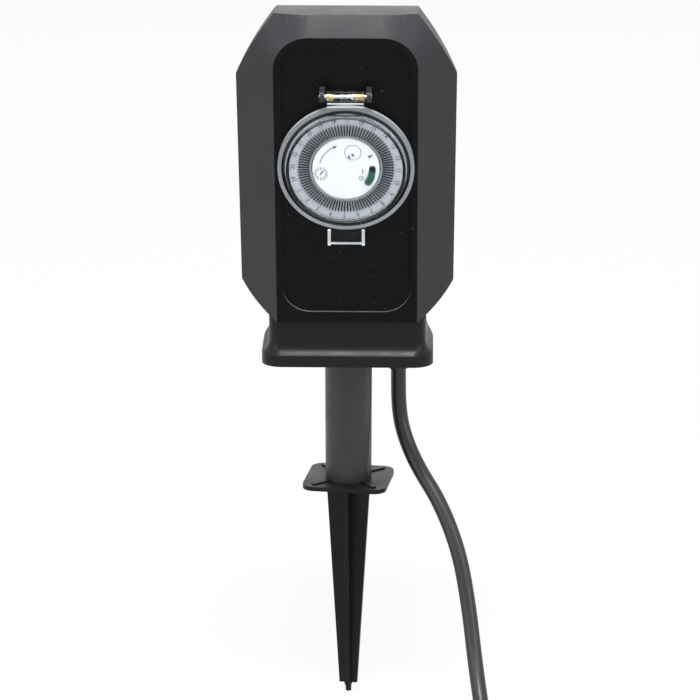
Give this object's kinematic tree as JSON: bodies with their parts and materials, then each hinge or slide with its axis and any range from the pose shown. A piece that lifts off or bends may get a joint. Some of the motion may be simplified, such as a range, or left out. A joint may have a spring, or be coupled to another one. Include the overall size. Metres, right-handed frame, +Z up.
{
  "type": "garden socket post",
  "caption": "Octagonal garden power post on a ground spike, with a day timer under a clear sprung lid, lidded outlets behind, and a supply cord with plug.",
  "frame": {"origin": "tip of the ground spike, on the post's axis", "axes": "+X right seen from the timer, +Y from the timer to the outlets, +Z up along the post"},
  "size_m": [0.1444, 0.2809, 0.4029],
  "materials": {
    "hood_grey": "fine grained slate grey moulding",
    "foot_black": "smooth black moulding",
    "post_black": "grained black coating",
    "insert_black": "satin black",
    "lid_black": "satin black",
    "lid_clear": "clear polished moulding",
    "dial_white": "smooth white",
    "gear_white": "natural white",
    "tripper_green": "dark green",
    "slider_green": "green",
    "seal_rubber": "matt black",
    "cord_rubber": "satin black",
    "tie_black": "satin black",
    "switch_black": "satin black",
    "motor_steel": "plain can",
    "screw_steel": "plain",
    "spring_steel": "drawn wire",
    "spring_brass": "yellow passivated wire",
    "contact_brass": "plain",
    "pin_nickel": "nickel plated",
    "wire_brown": "satin",
    "wire_black": "satin",
    "wire_blue": "satin",
    "wire_green": "satin"
  },
  "bodies": {
    "base": {"front_cover": "hood_grey", "rear_cover": "hood_grey", "hood_foot": "foot_black", "post": "post_black", "ground_spike": "foot_black", "post_screws": "screw_steel", "foot_screws": "screw_steel", "cover_screws": "screw_steel", "timer_case": "insert_black", "timer_screws": "screw_steel", "timer_motor": "motor_steel", "timer_switch": "switch_black", "switch_tabs": "contact_brass", "label_disc": "dial_white", "timer_lid_pin": "contact_brass", "timer_lid_springs": "spring_brass", "timer_gasket": "seal_rubber", "outlet_screws": "screw_steel", "terminal_block": "gear_white", "terminal_screws": "contact_brass", "cord_grip": "cord_rubber", "grip_nut": "foot_black", "cord_tail": "cord_rubber", "cord_clamp": "foot_black", "clamp_screws": "screw_steel", "cord_tube": "cord_rubber", "cord_coil": "cord_rubber", "coil_tie": "tie_black", "plug_lead": "cord_rubber", "plug_body": "cord_rubber", "plug_pins": "pin_nickel", "plug_earth": "pin_nickel", "live_wires": "wire_brown", "switched_wires": "wire_black", "neutral_wires": "wire_blue", "earth_wires": "wire_green", "lower_outlet_insert": "insert_black", "lower_earth_clips": "pin_nickel", "lower_contacts": "contact_brass", "lower_lid_pin": "screw_steel", "lower_lid_spring": "spring_steel", "lower_lid_gasket": "seal_rubber", "upper_outlet_insert": "insert_black", "upper_earth_clips": "pin_nickel", "upper_contacts": "contact_brass", "upper_lid_pin": "screw_steel", "upper_lid_spring": "spring_steel", "upper_lid_gasket": "seal_rubber"},
    "dial": {"dial_ring": "dial_white", "dial_gear": "gear_white"},
    "trippers": {"trippers": "tripper_green"},
    "idler": {"idler_gear": "gear_white"},
    "motor_rotor": {"motor_pinion": "gear_white"},
    "switch_lever": {"switch_lever": "gear_white"},
    "mode_slider": {"mode_slider": "slider_green"},
    "run_indicator": {"run_indicator": "switch_black"},
    "timer_lid": {"timer_lid": "lid_clear"},
    "lower_lid": {"lower_lid": "lid_black"},
    "upper_lid": {"upper_lid": "lid_black"}
  },
  "joints": [
    {"name": "dial_turn", "type": "hinge", "parent": "base", "child": "dial", "pos_m": [0, -0.06083, 0.32046], "axis": [0, -0.9751, -0.2215], "continuous": true},
    {"name": "tripper_push", "type": "slide", "parent": "dial", "child": "trippers", "axis": [0, 0.9751, 0.2215], "range_m": [0, 0.0012]},
    {"name": "idler_turn", "type": "hinge", "parent": "base", "child": "idler", "pos_m": [-0.01691, -0.05946, 0.31446], "axis": [0, -0.9751, -0.2215], "continuous": true},
    {"name": "motor_turn", "type": "hinge", "parent": "base", "child": "motor_rotor", "pos_m": [-0.01166, -0.05745, 0.30559], "axis": [0, -0.9751, -0.2215], "continuous": true},
    {"name": "indicator_turn", "type": "hinge", "parent": "base", "child": "run_indicator", "pos_m": [0.00267, -0.06243, 0.32752], "axis": [0, -0.9751, -0.2215], "continuous": true},
    {"name": "mode_slide", "type": "hinge", "parent": "base", "child": "mode_slider", "pos_m": [0, -0.06083, 0.32046], "axis": [0, -0.9751, -0.2215], "range_deg": [0, 15]},
    {"name": "timer_lid_hinge", "type": "hinge", "parent": "base", "child": "timer_lid", "pos_m": [0, -0.07473, 0.36089], "axis": [-1, 0, 0], "range_deg": [0, 105], "stiffness_Nm_per_rad": 0.012, "springref_deg": -68.75},
    {"name": "switch_lever_hinge", "type": "hinge", "parent": "base", "child": "switch_lever", "pos_m": [0.01074, -0.0497, 0.31663], "axis": [0.5, -0.1919, 0.8445], "range_deg": [0, 4.5], "stiffness_Nm_per_rad": 0.002, "springref_deg": -17.19},
    {"name": "lower_lid_hinge", "type": "hinge", "parent": "base", "child": "lower_lid", "pos_m": [0, 0.0442, 0.2968], "axis": [1, 0, 0], "range_deg": [0, 85], "stiffness_Nm_per_rad": 0.02, "springref_deg": -68.75},
    {"name": "upper_lid_hinge", "type": "hinge", "parent": "base", "child": "upper_lid", "pos_m": [0, 0.0442, 0.3688], "axis": [1, 0, 0], "range_deg": [0, 85], "stiffness_Nm_per_rad": 0.02, "springref_deg": -68.75}
  ],
  "couplings": [
    {"joint": "idler_turn", "follows": "dial_turn", "ratio": -5},
    {"joint": "motor_turn", "follows": "dial_turn", "ratio": 16},
    {"joint": "indicator_turn", "follows": "dial_turn", "ratio": -5}
  ]
}
